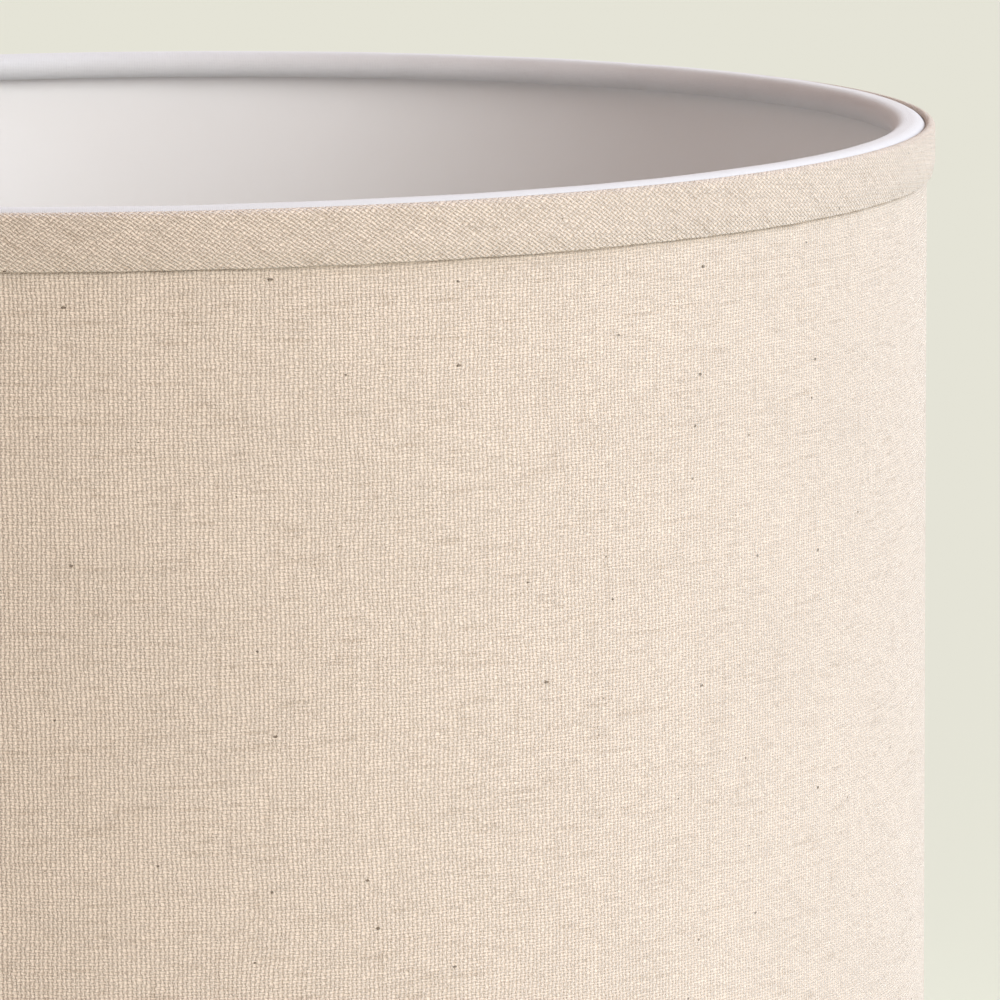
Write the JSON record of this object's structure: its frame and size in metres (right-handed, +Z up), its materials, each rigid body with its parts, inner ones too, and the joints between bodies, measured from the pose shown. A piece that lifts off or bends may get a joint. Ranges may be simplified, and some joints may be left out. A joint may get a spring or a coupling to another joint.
{
  "type": "lamp shade",
  "caption": "Straight drum lamp shade in plain-weave linen-look cloth on a rigid white lining, with bias-bound rims, a recessed three-arm fitter and a lift-out reducer ring.",
  "frame": {"origin": "centre of the circle that the shade stands on, at the lowest point of the bottom rim", "axes": "+Z up along the drum's axis, towards the plain top rim; +Y towards the first spider arm, so that the front, -Y, is midway between the other two; the vertical seam is at the left of the back, 150 degrees from +X"},
  "size_m": [0.3538, 0.3538, 0.23],
  "materials": {
    "cover_cloth": "plain-weave linen and cotton cloth, natural beige, matt, with slubs",
    "trim_cloth": "the cover's cloth cut on the bias and folded, matt",
    "rim_tape": "soft white cotton tape, matt",
    "lining_sheet": "smooth white lampshade sheet, satin",
    "seam_adhesive": "thin translucent double-sided tape",
    "ring_wire": "white powder coat on steel wire and pressed steel, satin",
    "reducer_plastic": "moulded white polypropylene, satin"
  },
  "bodies": {
    "shade": {"cover_fabric": "cover_cloth", "lining_panel": "lining_sheet", "seam_tape": "seam_adhesive", "bottom_ring": "ring_wire", "top_ring": "ring_wire", "bottom_ring_tape": "rim_tape", "top_ring_tape": "rim_tape", "bottom_trim": "trim_cloth", "top_trim": "trim_cloth", "fitter_ring": "ring_wire", "spider_arm_1": "ring_wire", "spider_arm_2": "ring_wire", "spider_arm_3": "ring_wire"},
    "reducer": {"reducer_ring": "reducer_plastic"}
  },
  "joints": [
    {"name": "reducer_lift", "type": "slide", "parent": "shade", "child": "reducer", "axis": [0, 0, 1], "range_m": [0, 0.06]}
  ]
}
